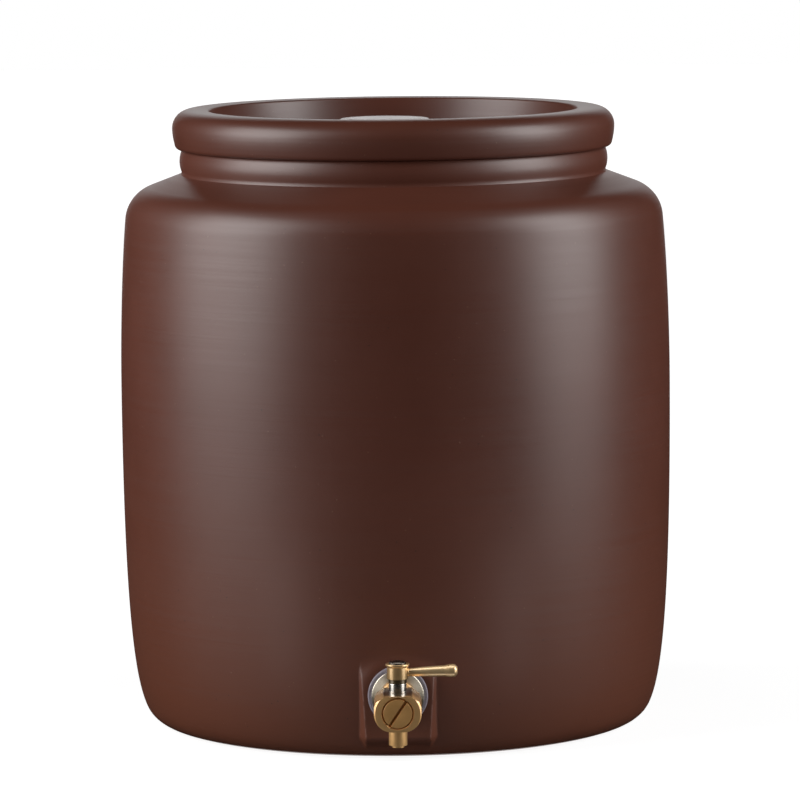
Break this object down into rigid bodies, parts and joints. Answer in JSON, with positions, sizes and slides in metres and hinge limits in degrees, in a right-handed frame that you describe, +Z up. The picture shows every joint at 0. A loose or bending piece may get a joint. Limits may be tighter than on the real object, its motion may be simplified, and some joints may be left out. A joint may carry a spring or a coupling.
{
  "type": "clay water pot with tap",
  "caption": "Turned clay water pot with a lift-off dished lid and a small brass ball tap low on its wall.",
  "frame": {"origin": "centre of the flat foot, on the ground; the pot's axis is the Z axis", "axes": "+Z up, the tap faces -Y, the closed lever points to +X"},
  "size_m": [0.2999, 0.354, 0.3351],
  "materials": {
    "clay_pot": "burnished satin",
    "clay_lid": "burnished satin",
    "silicone": "clear matte",
    "nickel": "turned",
    "steel": "plain",
    "brass": "antique, brushed",
    "chrome_ball": "polished",
    "seat_plastic": "smooth",
    "seal_rubber": "smooth",
    "dark_screw": "blackened"
  },
  "bodies": {
    "pot": {"pot_body": "clay_pot", "outer_gasket": "silicone", "inner_gasket": "silicone", "flange_washer": "nickel", "inner_washer": "steel", "tap_body": "brass", "back_nut": "brass", "rear_seat": "seat_plastic", "front_seat": "seat_plastic", "front_plug": "brass", "plug_seal": "seal_rubber", "stem_washer": "seat_plastic", "stem_seals": "seal_rubber", "gland": "nickel", "stop_pin": "steel"},
    "lever": {"valve_ball": "chrome_ball", "stem": "steel", "lever_hub": "brass", "lever_rod": "brass", "lever_screw": "dark_screw", "lock_washer": "dark_screw"},
    "lid": {"lid": "clay_lid"}
  },
  "joints": [
    {"name": "lever_turn", "type": "hinge", "parent": "pot", "child": "lever", "pos_m": [0, -0.18898, 0.036], "axis": [0, 0, -1], "range_deg": [0, 90]},
    {"name": "lid_lift", "type": "slide", "parent": "pot", "child": "lid", "axis": [0, 0, 1], "range_m": [0, 0.25]}
  ]
}
